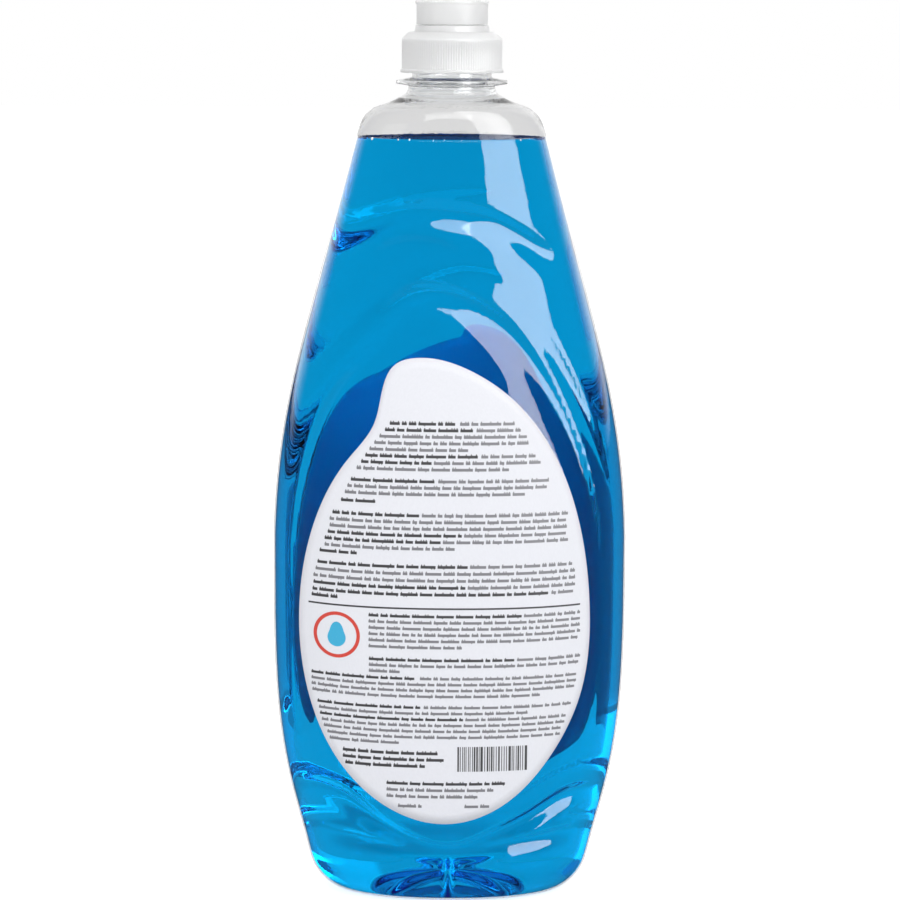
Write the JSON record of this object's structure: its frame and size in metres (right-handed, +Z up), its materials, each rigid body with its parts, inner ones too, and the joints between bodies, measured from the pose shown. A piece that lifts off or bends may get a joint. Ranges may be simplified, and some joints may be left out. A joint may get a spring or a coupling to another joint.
{
  "type": "dish soap bottle",
  "caption": "Filled oval squeeze bottle with sculpted swoosh flutes, teardrop film labels on both faces and a knurled push-pull cap.",
  "frame": {"origin": "centre of the standing plane under the base", "axes": "+Z up through the neck, +X along the width, the back label faces -Y"},
  "size_m": [0.1132, 0.0674, 0.2859],
  "materials": {
    "clear_pet": "clear blown plastic",
    "soap": "clear blue liquid",
    "label_white": "satin film",
    "label_blue": "satin film",
    "cap_natural": "translucent natural polypropylene"
  },
  "bodies": {
    "filled_bottle": {"bottle": "clear_pet", "liquid_soap": "soap", "back_label": "label_white", "front_label": "label_blue"},
    "closure": {"closure_base": "cap_natural"},
    "nozzle": {"pull_top": "cap_natural"}
  },
  "joints": [
    {"name": "closure_lift", "type": "slide", "parent": "filled_bottle", "child": "closure", "axis": [0, 0, 1], "range_m": [0, 0.04]},
    {"name": "nozzle_pull", "type": "slide", "parent": "closure", "child": "nozzle", "axis": [0, 0, 1], "range_m": [0, 0.004]}
  ]
}
